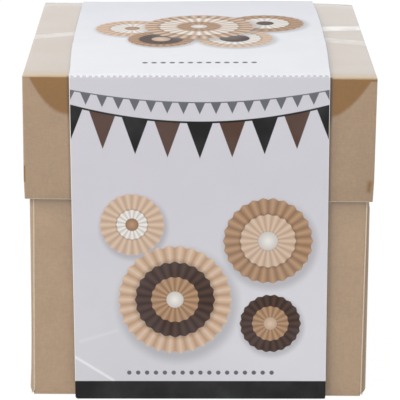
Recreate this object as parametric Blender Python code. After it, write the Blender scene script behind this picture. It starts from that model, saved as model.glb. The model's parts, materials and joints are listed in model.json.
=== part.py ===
# Explosion box of kraft card, closed, in a card sleeve.
# The lid holds four nested layers upright. Each layer is a base panel with four walls that turn
# on creases. A small gift box stands in the middle.
# Metres, +Z up. Front is -Y. The origin is on the floor under the middle of the box.

import math

import bmesh
import bpy
from mathutils import Vector

MM = 0.001

# Gaps between neighbouring pieces
REST_GAP = 0.3 * MM
CREASE_GAP = 0.3 * MM

# Lid
LID_WIDTH = 123.0 * MM
LID_RIM_DEPTH = 44.9 * MM
LID_CARD = 0.6 * MM
LID_CLEARANCE = 0.9 * MM
LID_FULL_WIDTH_RIMS = ("left", "right")

# Nested layers, from the outside in
LAYER_NAMES = ("outer", "second", "third", "inner")
CARD = 0.5 * MM
WALL_HEIGHT = 117.8 * MM
LAYER_STEP = 2.0 * MM
LAYER_DROP = 1.5 * MM
NOTCH_RADIUS = 11.0 * MM
NOTCH_STEPS = 14

# Gussets: an oval cut by the vertical crease and by a slanting lower edge.
# Two of them nearly meet along each wall. Shares are of the wall's height and of the gusset's reach.
GUSSET_MEET_GAP = 2.4 * MM
GUSSET_RISE_SHARE = 0.48
GUSSET_TALL_SHARE = 0.335
GUSSET_OUT_SHARE = 0.31
GUSSET_CUT_ANGLE = math.radians(-36.0)
GUSSET_STEPS = 24
GUSSET_WALLS = {"second": ("left", "right"), "third": ("front", "back")}

# Photo mats on the outer walls
MAT_WIDTH = 92.0 * MM
MAT_HEIGHT = 92.0 * MM
MAT_RISE = 10.0 * MM
MAT_CARD = 0.3 * MM

# Pockets and pull-out cards on the innermost walls
POCKET_WIDTH = 84.0 * MM
POCKET_HEIGHT = 58.0 * MM
POCKET_RISE = 7.0 * MM
POCKET_CARD = 0.4 * MM
POCKET_LIP = 3.0 * MM
POCKET_DEPTH = 1.1 * MM
POCKET_NOTCH_RADIUS = 10.0 * MM
PULL_CARD = 0.4 * MM
PULL_SIDE_GAP = 0.6 * MM
PULL_HEIGHT = 60.0 * MM
PULL_TAB_RADIUS = 9.0 * MM

# Gift box
GIFT_WIDTH = 70.0 * MM
GIFT_HEIGHT = 56.0 * MM
GIFT_RIM = 20.0 * MM
GIFT_CARD = 0.6 * MM
GIFT_CLEARANCE = 0.5 * MM
GIFT_EDGE_ROUND = 0.8 * MM

# Ribbon and bow
RIBBON_WIDTH = 8.0 * MM
RIBBON_THICK = 0.3 * MM
RIBBON_RIM_MARGIN = 0.8 * MM
BOW_RIBBON_WIDTH = 5.0 * MM
KNOT_WIDTH = 5.6 * MM
KNOT_DEPTH = 6.4 * MM
KNOT_HEIGHT = 4.6 * MM
KNOT_ROUND = 1.2 * MM
LOOP_LENGTH = 22.0 * MM
LOOP_HEIGHT = 10.0 * MM
LOOP_LIFT = 3.2 * MM
LOOP_MOUTH = 1.2 * MM
LOOP_STEPS = 28
TAIL_START = 4.6 * MM
TAIL_LENGTH = 27.0 * MM
TAIL_DROP = 0.9 * MM
TAIL_WAVE = 0.5 * MM
TAIL_ANGLE = math.radians(36.0)
TAIL_STEPS = 12

# Sleeve
SLEEVE_WIDTH = 90.4 * MM
SLEEVE_SHIFT = 0.6 * MM
SLEEVE_CARD = 0.4 * MM
SLEEVE_GAP = 0.35 * MM
SLEEVE_FOLD_RADIUS = 0.9 * MM
SLEEVE_FOLD_STEPS = 4

# The sleeve's top panel bows up between its folds. Shares are of the half panel's depth, and
# the panel stays flat inside the last one.
SLEEVE_ARCH = 1.5 * MM
SLEEVE_ARCH_SHARES = (0.8, 0.55, 0.3)

# Sides of the square box, each with its turn about Z
SIDES = {"front": 0.0, "right": math.pi / 2, "back": math.pi, "left": -math.pi / 2}

# Heights and reaches that follow from the sizes above
BASE_Z = SLEEVE_CARD + REST_GAP
WALL_TOP = BASE_Z + WALL_HEIGHT
LID_TOP = WALL_TOP + REST_GAP + LID_CARD
OUTER_REACH = LID_WIDTH / 2 - LID_CARD - LID_CLEARANCE
LAYER_RISE = CARD + REST_GAP
GIFT_Z = BASE_Z + LAYER_RISE * len(LAYER_NAMES)
GIFT_TOP = GIFT_Z + GIFT_HEIGHT
RIBBON_Z = GIFT_TOP + REST_GAP
BOW_Z = RIBBON_Z + RIBBON_THICK + REST_GAP
SLEEVE_REACH = LID_WIDTH / 2 + SLEEVE_GAP
SLEEVE_TOP = LID_TOP + REST_GAP + SLEEVE_CARD

# Colours are linear
FINISHES = {
    "kraft_board": ((0.43, 0.31, 0.21), 0.62),
    "kraft_inner": ((0.36, 0.24, 0.15), 0.70),
    "mat_paper": ((0.78, 0.74, 0.66), 0.75),
    "pocket_card": ((0.30, 0.19, 0.11), 0.70),
    "pull_card": ((0.82, 0.80, 0.76), 0.60),
    "gift_board": ((0.50, 0.35, 0.22), 0.65),
    "ribbon": ((0.86, 0.86, 0.85), 0.45),
    "sleeve_print": ((0.66, 0.66, 0.70), 0.40),
}


def clearScene():
    for thing in list(bpy.data.objects):
        bpy.data.objects.remove(thing, do_unlink=True)


def makeFinish(name):
    colour, roughness = FINISHES[name]
    finish = bpy.data.materials.new(name)
    finish.use_nodes = True
    shader = finish.node_tree.nodes["Principled BSDF"]
    shader.inputs["Base Color"].default_value = (*colour, 1.0)
    shader.inputs["Roughness"].default_value = roughness
    shader.inputs["Metallic"].default_value = 0.0
    return finish


# Shapes

def toObject(name, shape, finish, parent=None):
    bmesh.ops.recalc_face_normals(shape, faces=shape.faces)
    mesh = bpy.data.meshes.new(name)
    shape.to_mesh(mesh)
    shape.free()
    mesh.materials.append(bpy.data.materials[finish])
    piece = bpy.data.objects.new(name, mesh)
    bpy.context.collection.objects.link(piece)
    piece.parent = parent
    return piece


# Moves a region of faces out of the shape, with walls behind it
def extrude(shape, faces, move, keepsFaces=False):
    grown = bmesh.ops.extrude_face_region(shape, geom=faces)
    moved = [part for part in grown["geom"] if isinstance(part, bmesh.types.BMVert)]
    bmesh.ops.translate(shape, verts=moved, vec=move)
    if not keepsFaces:
        bmesh.ops.delete(shape, geom=faces, context="FACES_ONLY")


# A flat piece: outlines in the XZ plane that share their corners, thickened towards +Y
def plateShape(outlines, thickness):
    shape = bmesh.new()
    for outline in outlines:
        shape.faces.new([shape.verts.new((x, 0.0, z)) for x, z in outline])
    bmesh.ops.remove_doubles(shape, verts=shape.verts, dist=REST_GAP / 10)
    front = list(shape.faces)
    extrude(shape, front, (0.0, thickness, 0.0), keepsFaces=True)
    return shape, front


def makePlate(name, outline, thickness, finish, parent=None):
    shape, _ = plateShape([outline], thickness)
    return toObject(name, shape, finish, parent)


# Turns a plate to lie flat, with its upper face at the given height
def layFlat(plate, top):
    plate.rotation_euler.x = -math.pi / 2
    plate.location.z = top


# Stands a plate on one side of the box, with its outer face at the given reach
def standOnSide(plate, side, reach, bottom):
    turn = SIDES[side]
    plate.location = (reach * math.sin(turn), -reach * math.cos(turn), bottom)
    plate.rotation_euler.z = turn


# Points of an arc, from one angle to the other
def arc(centre, radius, start, end, steps):
    turns = [start + (end - start) * step / steps for step in range(steps + 1)]
    return [(centre[0] + radius * math.cos(turn), centre[1] + radius * math.sin(turn)) for turn in turns]


# A box open on one side: its opening looks down when it is a lid
def openBoxShape(width, height, wall, edgeRound, opensDown):
    shape = bmesh.new()
    bmesh.ops.create_cube(shape, size=1.0)
    bmesh.ops.scale(shape, verts=shape.verts, vec=(width, width, height))
    bmesh.ops.translate(shape, verts=shape.verts, vec=(0.0, 0.0, height / 2))
    openSide = -1.0 if opensDown else 1.0
    mouth = max(shape.faces, key=lambda face: face.normal.z * openSide)
    kept = set(mouth.edges)
    rounded = [edge for edge in shape.edges if edge not in kept]
    bmesh.ops.bevel(shape, geom=rounded, offset=edgeRound, segments=2, profile=0.5, affect="EDGES")
    mouth = max(shape.faces, key=lambda face: (face.normal.z * openSide, face.calc_area()))
    bmesh.ops.inset_region(shape, faces=[mouth], thickness=wall, depth=0.0, use_even_offset=True)
    extrude(shape, [mouth], (0.0, 0.0, (wall - height) * openSide))
    return shape


# A strip of ribbon that follows a path in the XZ plane and is as wide as given along Y
def ribbonShape(path, thickness, width):
    outer = []
    inner = []
    for index, point in enumerate(path):
        before = Vector(path[max(index - 1, 0)])
        after = Vector(path[min(index + 1, len(path) - 1)])
        along = (after - before).normalized()
        side = Vector((-along.y, along.x)) * thickness / 2
        outer.append(tuple(Vector(point) + side))
        inner.append(tuple(Vector(point) - side))
    shape, _ = plateShape([outer + inner[::-1]], width)
    bmesh.ops.translate(shape, verts=shape.verts, vec=(0.0, -width / 2, 0.0))
    return shape


# Layers

def layerReach(layer):
    return OUTER_REACH - LAYER_STEP * LAYER_NAMES.index(layer)


def layerHalf(layer):
    return layerReach(layer) - CARD - CREASE_GAP


def layerZ(layer):
    return BASE_Z + LAYER_RISE * LAYER_NAMES.index(layer)


def wallHeight(layer):
    top = WALL_TOP - LAYER_DROP * LAYER_NAMES.index(layer)
    return top - layerZ(layer)


def rectangle(halfWidth, low, high):
    return [(-halfWidth, low), (halfWidth, low), (halfWidth, high), (-halfWidth, high)]


# A rectangle with a round bite out of the middle of its top edge
def notched(halfWidth, high, radius):
    bite = arc((0.0, high), radius, 0.0, -math.pi, NOTCH_STEPS)
    return [(-halfWidth, 0.0), (halfWidth, 0.0), (halfWidth, high), *bite, (-halfWidth, high)]


def makeBase(layer):
    half = layerHalf(layer)
    base = makePlate(layer + "_base", rectangle(half, -half, half), CARD, "kraft_board")
    layFlat(base, layerZ(layer) + CARD)


# A wall's origin is the middle of its crease, on its outer lower edge
def makeWall(layer, side):
    half = layerHalf(layer)
    height = wallHeight(layer)
    if layer == "outer":
        outline = rectangle(half, 0.0, height)
    else:
        outline = notched(half, height, NOTCH_RADIUS)
    finish = "kraft_board" if layer == "outer" else "kraft_inner"
    wall = makePlate(layer + "_wall_" + side, outline, CARD, finish)
    standOnSide(wall, side, layerReach(layer), layerZ(layer))
    return wall


# The outline of a gusset, seen flat, with its crease at x = 0
def gussetOutline(layer, direction):
    height = wallHeight(layer)
    reach = layerHalf(layer) - GUSSET_MEET_GAP / 2
    centre = (GUSSET_OUT_SHARE * reach, GUSSET_RISE_SHARE * height)
    wide = reach - centre[0]
    tall = GUSSET_TALL_SHARE * height
    crease = math.acos(-centre[0] / wide)
    points = [(0.0, 0.0)]
    for x, z in arc((0.0, 0.0), 1.0, GUSSET_CUT_ANGLE, crease, GUSSET_STEPS):
        points.append((direction * (centre[0] + wide * x), centre[1] + tall * z))
    return points


# A gusset hangs on a vertical edge of its wall and lies folded along the next wall
def makeGusset(layer, wall, wallSide, nextSide):
    end = gussetEnd(wallSide, nextSide)
    outline = gussetOutline(layer, end)
    name = layer + "_gusset_" + wallSide + "_" + nextSide
    gusset = makePlate(name, outline, CARD, "kraft_inner", wall)
    gusset.location = (end * layerHalf(layer), CARD + CREASE_GAP, LAYER_RISE)
    gusset.rotation_euler.z = end * math.pi / 2


# Which end of a wall meets the next wall: +1 on its right as seen from outside, -1 on its left
def gussetEnd(wallSide, nextSide):
    turn = SIDES[nextSide] - SIDES[wallSide]
    return 1.0 if math.sin(turn) > 0.0 else -1.0


def makeMat(wall, side):
    outline = rectangle(MAT_WIDTH / 2, 0.0, MAT_HEIGHT)
    mat = makePlate("photo_mat_" + side, outline, MAT_CARD, "mat_paper", wall)
    mat.location = (0.0, CARD + REST_GAP, MAT_RISE)


# A pocket is a front panel with a lip on three sides that is glued to the wall
def makePocket(wall, side):
    half = POCKET_WIDTH / 2
    inside = half - POCKET_LIP
    bite = arc((0.0, POCKET_HEIGHT), POCKET_NOTCH_RADIUS, 0.0, -math.pi, NOTCH_STEPS)
    face = [(-inside, POCKET_LIP), (inside, POCKET_LIP), (inside, POCKET_HEIGHT), *bite,
            (-inside, POCKET_HEIGHT)]
    lip = [(-half, 0.0), (half, 0.0), (half, POCKET_HEIGHT), (inside, POCKET_HEIGHT), (inside, POCKET_LIP),
           (-inside, POCKET_LIP), (-inside, POCKET_HEIGHT), (-half, POCKET_HEIGHT)]
    shape, front = plateShape([lip, face], POCKET_CARD)
    extrude(shape, front[:1], (0.0, -POCKET_DEPTH, 0.0))
    pocket = toObject("pocket_" + side, shape, "pocket_card", wall)
    pocket.location = (0.0, CARD + REST_GAP + POCKET_DEPTH, POCKET_RISE)


# A pull-out card slides up out of its pocket by a round tab
def makePullCard(wall, side):
    half = POCKET_WIDTH / 2 - POCKET_LIP - PULL_SIDE_GAP
    tab = arc((0.0, PULL_HEIGHT), PULL_TAB_RADIUS, 0.0, math.pi, NOTCH_STEPS)
    outline = [(-half, 0.0), (half, 0.0), (half, PULL_HEIGHT), *tab, (-half, PULL_HEIGHT)]
    card = makePlate("pull_card_" + side, outline, PULL_CARD, "pull_card", wall)
    card.location = (0.0, CARD + REST_GAP * 2, POCKET_RISE + POCKET_LIP + REST_GAP)


def makeLayer(layer):
    makeBase(layer)
    walls = {side: makeWall(layer, side) for side in SIDES}
    for wallSide in GUSSET_WALLS.get(layer, ()):
        crossing = [side for side in SIDES if abs(math.sin(SIDES[side] - SIDES[wallSide])) > 0.5]
        for nextSide in crossing:
            makeGusset(layer, walls[wallSide], wallSide, nextSide)
    for side, wall in walls.items():
        if layer == "outer":
            makeMat(wall, side)
        if layer == "inner":
            makePocket(wall, side)
            makePullCard(wall, side)


# Gift box

def makeGift():
    lidInside = GIFT_WIDTH / 2 - GIFT_CARD
    trayWidth = 2 * (lidInside - GIFT_CLEARANCE)
    trayHeight = GIFT_HEIGHT - GIFT_CARD - REST_GAP
    shape = openBoxShape(trayWidth, trayHeight, GIFT_CARD, GIFT_EDGE_ROUND, False)
    tray = toObject("gift_tray", shape, "gift_board")
    tray.location.z = GIFT_Z
    shape = openBoxShape(GIFT_WIDTH, GIFT_RIM, GIFT_CARD, GIFT_EDGE_ROUND, True)
    lid = toObject("gift_lid", shape, "gift_board", tray)
    lid.location.z = GIFT_HEIGHT - GIFT_RIM
    return lid


# A flat cross over the gift box's lid, with its four ends turned down over the rim
def makeRibbon(parent):
    band = RIBBON_WIDTH / 2
    reach = GIFT_WIDTH / 2 + REST_GAP
    ends = reach + RIBBON_THICK
    shape = bmesh.new()
    cells = [rectangle(band, -band, band)]
    for turn in SIDES.values():
        spin = ((math.cos(turn), -math.sin(turn)), (math.sin(turn), math.cos(turn)))
        for near, far in ((band, reach), (reach, ends)):
            cell = rectangle(band, near, far)
            (xx, xy), (yx, yy) = spin
            cells.append([(x * xx + y * xy, x * yx + y * yy) for x, y in cell])
    for cell in cells:
        shape.faces.new([shape.verts.new((x, y, 0.0)) for x, y in cell])
    bmesh.ops.remove_doubles(shape, verts=shape.verts, dist=RIBBON_THICK / 10)
    under = list(shape.faces)
    extrude(shape, under, (0.0, 0.0, RIBBON_THICK), keepsFaces=True)
    middles = {face: face.calc_center_median() for face in under}
    turned = [face for face in under if max(abs(middles[face].x), abs(middles[face].y)) > reach]
    extrude(shape, turned, (0.0, 0.0, RIBBON_RIM_MARGIN - GIFT_RIM))
    ribbon = toObject("gift_ribbon", shape, "ribbon", parent)
    ribbon.location.z = GIFT_RIM + REST_GAP
    return ribbon


# A bow loop is a drop-shaped turn of ribbon that starts and ends at the knot
def loopPath(direction):
    path = []
    for step in range(LOOP_STEPS + 1):
        turn = 2 * math.pi * step / LOOP_STEPS
        out = KNOT_WIDTH / 2 + REST_GAP + LOOP_LENGTH * (1 - math.cos(turn)) / 2
        rise = LOOP_MOUTH * math.cos(turn / 2) / 2 + LOOP_LIFT * (1 - math.cos(turn)) / 2
        rise += LOOP_HEIGHT * math.sin(turn) * math.sin(turn / 2) / 2
        path.append((direction * out, rise))
    return path


# A tail leaves the knot, crosses the ribbon and lies on the lid
def tailPath():
    path = []
    for step in range(TAIL_STEPS + 1):
        share = step / TAIL_STEPS
        out = TAIL_START + TAIL_LENGTH * share
        rise = -TAIL_DROP * share + TAIL_WAVE * math.sin(math.pi * share) ** 2
        path.append((out, rise))
    return path


def makeBow(parent):
    bowLift = BOW_Z - GIFT_Z - (GIFT_HEIGHT - GIFT_RIM)
    shape = bmesh.new()
    bmesh.ops.create_cube(shape, size=1.0)
    bmesh.ops.scale(shape, verts=shape.verts, vec=(KNOT_WIDTH, KNOT_DEPTH, KNOT_HEIGHT))
    bmesh.ops.bevel(shape, geom=shape.edges[:], offset=KNOT_ROUND, segments=2, profile=0.5, affect="EDGES")
    knot = toObject("bow_knot", shape, "ribbon", parent)
    knot.location.z = bowLift + KNOT_HEIGHT / 2
    for side, direction in (("left", -1.0), ("right", 1.0)):
        shape = ribbonShape(loopPath(direction), RIBBON_THICK, BOW_RIBBON_WIDTH)
        loop = toObject("bow_loop_" + side, shape, "ribbon", parent)
        loop.location.z = bowLift + KNOT_HEIGHT / 2
        shape = ribbonShape(tailPath(), RIBBON_THICK, BOW_RIBBON_WIDTH)
        tail = toObject("bow_tail_" + side, shape, "ribbon", parent)
        tail.location.z = bowLift + TAIL_DROP
        tail.rotation_euler.z = -math.pi / 2 + direction * TAIL_ANGLE


# Lid and sleeve

# The lid's panels are folded from one sheet: a top and four rims
def makeLid(axis):
    half = LID_WIDTH / 2
    top = makePlate("lid_top", rectangle(half, -half, half), LID_CARD, "kraft_board", axis)
    layFlat(top, 0.0)
    drop = LID_CARD + CREASE_GAP
    for side in SIDES:
        end = half if side in LID_FULL_WIDTH_RIMS else half - drop
        outline = rectangle(end, 0.0, LID_RIM_DEPTH - drop)
        rim = makePlate("lid_rim_" + side, outline, LID_CARD, "kraft_board", axis)
        standOnSide(rim, side, half, -LID_RIM_DEPTH)


# Points of the bowed top panel, from its front fold to its back fold
def archPoints(inset, top):
    flat = SLEEVE_ARCH_SHARES[-1]
    half = []
    for share in SLEEVE_ARCH_SHARES:
        half.append((inset * share, top + SLEEVE_ARCH * (1 - share ** 2) / (1 - flat ** 2)))
    return [(-y, z) for y, z in half] + half[::-1]


# The band runs up the front, over the lid and down the back, with rounded folds
def makeSleeve(axis):
    outerReach = SLEEVE_REACH + SLEEVE_CARD
    outline = []
    for reach, top, radius in (
        (outerReach, SLEEVE_TOP, SLEEVE_FOLD_RADIUS + SLEEVE_CARD),
        (SLEEVE_REACH, SLEEVE_TOP - SLEEVE_CARD, SLEEVE_FOLD_RADIUS),
    ):
        inset = reach - radius
        front = arc((-inset, top - radius), radius, math.pi, math.pi / 2, SLEEVE_FOLD_STEPS)
        back = arc((inset, top - radius), radius, math.pi / 2, 0.0, SLEEVE_FOLD_STEPS)
        run = [(-reach, 0.0), *front, *archPoints(inset, top), *back, (reach, 0.0)]
        outline += run if not outline else run[::-1]
    shape, _ = plateShape([outline], SLEEVE_WIDTH)
    band = toObject("sleeve_band", shape, "sleeve_print", axis)
    band.rotation_euler.z = math.pi / 2
    band.location = (SLEEVE_SHIFT + SLEEVE_WIDTH / 2, 0.0, -axis.location.z)
    halfDepth = SLEEVE_REACH - CREASE_GAP
    half = SLEEVE_WIDTH / 2
    outline = [(-half, -halfDepth), (half, -halfDepth), (half, halfDepth), (-half, halfDepth)]
    underside = makePlate("sleeve_underside", outline, SLEEVE_CARD, "sleeve_print")
    layFlat(underside, SLEEVE_CARD)
    underside.location.x = SLEEVE_SHIFT


clearScene()
for finishName in FINISHES:
    makeFinish(finishName)
lidAxis = bpy.data.objects.new("lid_axis", None)
bpy.context.collection.objects.link(lidAxis)
lidAxis.location.z = LID_TOP
makeLid(lidAxis)
makeSleeve(lidAxis)
for layerName in LAYER_NAMES:
    makeLayer(layerName)
giftLid = makeGift()
makeRibbon(giftLid)
makeBow(giftLid)
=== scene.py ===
import json
import math

import bmesh
import bpy
from mathutils import Matrix, Vector


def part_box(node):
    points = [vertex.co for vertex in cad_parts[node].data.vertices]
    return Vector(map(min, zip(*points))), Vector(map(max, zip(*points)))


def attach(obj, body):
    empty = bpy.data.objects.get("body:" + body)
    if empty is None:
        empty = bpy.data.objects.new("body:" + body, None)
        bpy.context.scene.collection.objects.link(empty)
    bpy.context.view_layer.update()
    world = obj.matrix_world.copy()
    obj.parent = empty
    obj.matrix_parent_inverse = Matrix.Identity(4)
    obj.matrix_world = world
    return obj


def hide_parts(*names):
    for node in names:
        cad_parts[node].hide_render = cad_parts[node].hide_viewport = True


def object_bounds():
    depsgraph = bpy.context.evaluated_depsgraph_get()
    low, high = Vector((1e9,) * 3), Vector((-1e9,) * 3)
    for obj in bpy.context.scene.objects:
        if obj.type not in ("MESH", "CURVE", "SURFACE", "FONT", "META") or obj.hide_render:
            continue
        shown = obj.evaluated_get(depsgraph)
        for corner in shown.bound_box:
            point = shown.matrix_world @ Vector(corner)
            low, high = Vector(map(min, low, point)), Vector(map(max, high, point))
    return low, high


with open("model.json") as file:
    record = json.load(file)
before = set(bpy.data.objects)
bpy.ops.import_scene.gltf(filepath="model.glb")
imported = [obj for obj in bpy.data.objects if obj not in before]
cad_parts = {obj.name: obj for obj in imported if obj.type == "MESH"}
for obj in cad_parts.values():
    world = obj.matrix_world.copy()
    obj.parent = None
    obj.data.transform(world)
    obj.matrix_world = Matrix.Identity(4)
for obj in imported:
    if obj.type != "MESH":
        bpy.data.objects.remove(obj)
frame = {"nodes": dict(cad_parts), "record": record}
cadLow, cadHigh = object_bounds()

# An explosion box of kraft card: nested folding layers under a deep lid, in a printed card sleeve.
# Metres, the same frame as the CAD: +Z up, the front looks along -Y.

mm = 0.001
closeBy = 0.1 * mm  # places nearer than this count as one
facing = 0.7  # a face's normal along a direction, where it looks that way
squarely = 0.9  # the same, where it looks straight that way
wideSpan = (0.3, 0.7)  # nearly all of a noise's values
tightSpan = (0.35, 0.65)  # its middle values, for more contrast


# Node helpers

def newMaterial(name):
    material = bpy.data.materials.new(name)
    material.use_nodes = True
    return material, material.node_tree.nodes["Principled BSDF"]


# A value is a number, a colour or another node's output
def plug(socket, value):
    if isinstance(value, bpy.types.NodeSocket):
        socket.id_data.links.new(value, socket)
    else:
        socket.default_value = value


# A new node in the tree of the values that it will take
def addNode(kind, *values):
    tree = next(value.id_data for value in values if isinstance(value, bpy.types.bpy_struct))
    return tree.nodes.new(kind)


def calc(operation, *values, clamp=False):
    node = addNode("ShaderNodeMath", *values)
    node.operation = operation
    node.use_clamp = clamp
    for socket, value in zip(node.inputs, values):
        plug(socket, value)
    return node.outputs[0]


def plus(first, second):
    return calc("ADD", first, second)


def minus(first, second):
    return calc("SUBTRACT", first, second)


def times(first, second):
    return calc("MULTIPLY", first, second)


def absolute(value):
    return calc("ABSOLUTE", value)


def mixColour(amount, first, second, blend="MIX"):
    node = addNode("ShaderNodeMix", amount, first, second)
    node.data_type = "RGBA"
    node.blend_type = blend
    plug(node.inputs[0], amount)
    plug(node.inputs[6], first)
    plug(node.inputs[7], second)
    return node.outputs[2]


# start below low, end above high, smooth between them; low may be the larger
def fade(value, low, high, start=0.0, end=1.0):
    node = addNode("ShaderNodeMapRange", value, low, high, start, end)
    node.interpolation_type = "SMOOTHSTEP"
    for socket, given in zip(node.inputs, (value, low, high, start, end)):
        plug(socket, given)
    return node.outputs[0]


# A new material, its shader and the place on the piece that its patterns follow
def newFinish(name):
    material, shader = newMaterial(name)
    return material, shader, addNode("ShaderNodeTexCoord", shader).outputs["Object"]


def splitPlace(place):
    node = addNode("ShaderNodeSeparateXYZ", place)
    plug(node.inputs[0], place)
    return node.outputs[0], node.outputs[1], node.outputs[2]


# Noise with features of about the given size in metres; it may be turned and stretched
def grain(place, size, detail=2.0, stretch=None, turn=(0.0, 0.0, 0.0)):
    if stretch:
        mapping = addNode("ShaderNodeMapping", place)
        plug(mapping.inputs["Vector"], place)
        mapping.inputs["Rotation"].default_value = turn
        mapping.inputs["Scale"].default_value = stretch
        place = mapping.outputs[0]
    node = addNode("ShaderNodeTexNoise", place)
    plug(node.inputs["Vector"], place)
    node.inputs["Scale"].default_value = 1.0 / size
    node.inputs["Detail"].default_value = detail
    return node.outputs["Fac"]


def bumpFrom(shader, height, distance):
    node = addNode("ShaderNodeBump", shader)
    node.inputs["Distance"].default_value = distance
    node.inputs["Strength"].default_value = 1.0
    plug(node.inputs["Height"], height)
    plug(shader.inputs["Normal"], node.outputs[0])


# Kraft board

kraftBoard = {
    "mottleSize": 9 * mm, "mottleTone": 0.035,
    "grainSize": 1.1 * mm, "grainTone": 0.035, "grainHeight": 0.6,
    "fibreSize": 0.35 * mm, "fibreStretch": 7.0, "fibreTone": 0.05,
    "acrossTurn": (0.0, 0.35, 0.2),
    "upTurn": (0.0, -0.4, 0.3),
    "fleckSize": 0.5 * mm,
    "flecks": (  # span of the noise, share and colour
        ((0.70, 0.78), 0.30, (0.16, 0.09, 0.045, 1.0)),
        ((0.30, 0.24), 0.22, (0.62, 0.50, 0.38, 1.0)),
    ),
    "wear": (-0.05, 0.06),
    "depth": 0.012 * mm,
}
kraftKinds = {
    "lid": {"colour": (0.330, 0.217, 0.125), "roughness": 0.42, "coat": 1.0, "coatRoughness": 0.12},
    # paler board on the lid's rounded folds: a painted highlight
    "fold": {"colour": (0.400, 0.285, 0.185), "roughness": 0.5, "coat": 0.8, "coatRoughness": 0.2},
    "base": {"colour": (0.366, 0.243, 0.143), "roughness": 0.42, "coat": 1.0, "coatRoughness": 0.14},
    # paler board on the side walls' curled edges: a painted highlight
    "curl": {"colour": (0.430, 0.315, 0.215), "roughness": 0.6},
    "panel": {"colour": (0.300, 0.200, 0.120), "roughness": 0.5},
    "inner": {"colour": (0.300, 0.195, 0.115), "roughness": 0.6},
    "gift": {"colour": (0.460, 0.325, 0.215), "roughness": 0.55},
    "pocket": {"colour": (0.190, 0.115, 0.068), "roughness": 0.6},
}


# Colour and height of the board, from broad mottling down to fibres and single flecks
def kraftColour(place, colour):
    board = kraftBoard
    thin = 1.0 / board["fibreStretch"]
    mottle = grain(place, board["mottleSize"], detail=3.0)
    fine = grain(place, board["grainSize"], detail=3.0)
    across = grain(place, board["fibreSize"], stretch=(thin, 1.0, 1.0), turn=board["acrossTurn"])
    up = grain(place, board["fibreSize"], stretch=(1.0, 1.0, thin), turn=board["upTurn"])
    fibres = times(plus(across, up), 0.5)
    tone = fade(mottle, *wideSpan, -board["mottleTone"], board["mottleTone"])
    tone = plus(tone, fade(fine, *wideSpan, -board["grainTone"], board["grainTone"]))
    tone = plus(tone, fade(fibres, *tightSpan, -board["fibreTone"], board["fibreTone"]))
    scaled = addNode("ShaderNodeVectorMath", place)
    scaled.operation = "SCALE"
    scaled.inputs[0].default_value = colour
    plug(scaled.inputs["Scale"], plus(tone, 1.0))
    result = scaled.outputs[0]
    flecks = grain(place, board["fleckSize"], detail=1.0)
    for span, share, fleckColour in board["flecks"]:
        fleck = times(fade(flecks, *span), share)
        result = mixColour(fleck, result, fleckColour)
    height = plus(fibres, times(fine, board["grainHeight"]))
    return result, height


# marks changes the colour: printed stitches on the pockets, painted shade and light on the lid and walls
def makeKraft(name, colour, roughness, coat=0.0, coatRoughness=0.2, marksAndShading=None):
    material, shader, place = newFinish(name)
    tone, height = kraftColour(place, colour)
    if marksAndShading:
        tone = marksAndShading(place, tone)
    plug(shader.inputs["Base Color"], tone)
    worn = grain(place, kraftBoard["mottleSize"] * 2.0)
    levels = (roughness + change for change in kraftBoard["wear"])
    plug(shader.inputs["Roughness"], fade(worn, *wideSpan, *levels))
    shader.inputs["Coat Weight"].default_value = coat
    shader.inputs["Coat Roughness"].default_value = coatRoughness
    bumpFrom(shader, height, kraftBoard["depth"])
    return material


cutEdge = {
    "colour": (0.68, 0.535, 0.40),
    "plySize": 0.12 * mm, "plyShade": 0.72,
    "fuzzSize": 0.6 * mm, "fuzzSpan": (0.45, 0.75), "fuzzShare": 0.35,
    "fuzzColour": (0.78, 0.68, 0.55, 1.0),
    "roughness": 0.8,
    "depth": 0.03 * mm,
}


# The cut edge of a card: paler, with its plies
def makeCutEdge(name):
    material, shader, place = newFinish(name)
    plies = grain(place, cutEdge["plySize"])
    fuzz = grain(place, cutEdge["fuzzSize"], detail=3.0)
    dark = (*(part * cutEdge["plyShade"] for part in cutEdge["colour"]), 1.0)
    tone = mixColour(fade(plies, *tightSpan), dark, (*cutEdge["colour"], 1.0))
    fuzzy = fade(fuzz, *cutEdge["fuzzSpan"], 0.0, cutEdge["fuzzShare"])
    tone = mixColour(fuzzy, tone, cutEdge["fuzzColour"])
    plug(shader.inputs["Base Color"], tone)
    shader.inputs["Roughness"].default_value = cutEdge["roughness"]
    bumpFrom(shader, fuzz, cutEdge["depth"])
    return material


# 1 on a straight mark, 0 beyond its edges and ends
def lineMask(across, up, start, end, width, soft):
    run = Vector(end) - Vector(start)
    length = run.length
    run.normalize()
    dx = minus(across, start[0])
    dy = minus(up, start[1])
    along = calc("MULTIPLY_ADD", dx, run.x, times(dy, run.y))
    off = calc("MULTIPLY_ADD", dx, -run.y, times(dy, run.x))
    middle = fade(absolute(off), width + soft, width - soft)
    ends = times(fade(along, -soft, soft), fade(along, length + soft, length - soft))
    return times(middle, ends)
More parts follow.
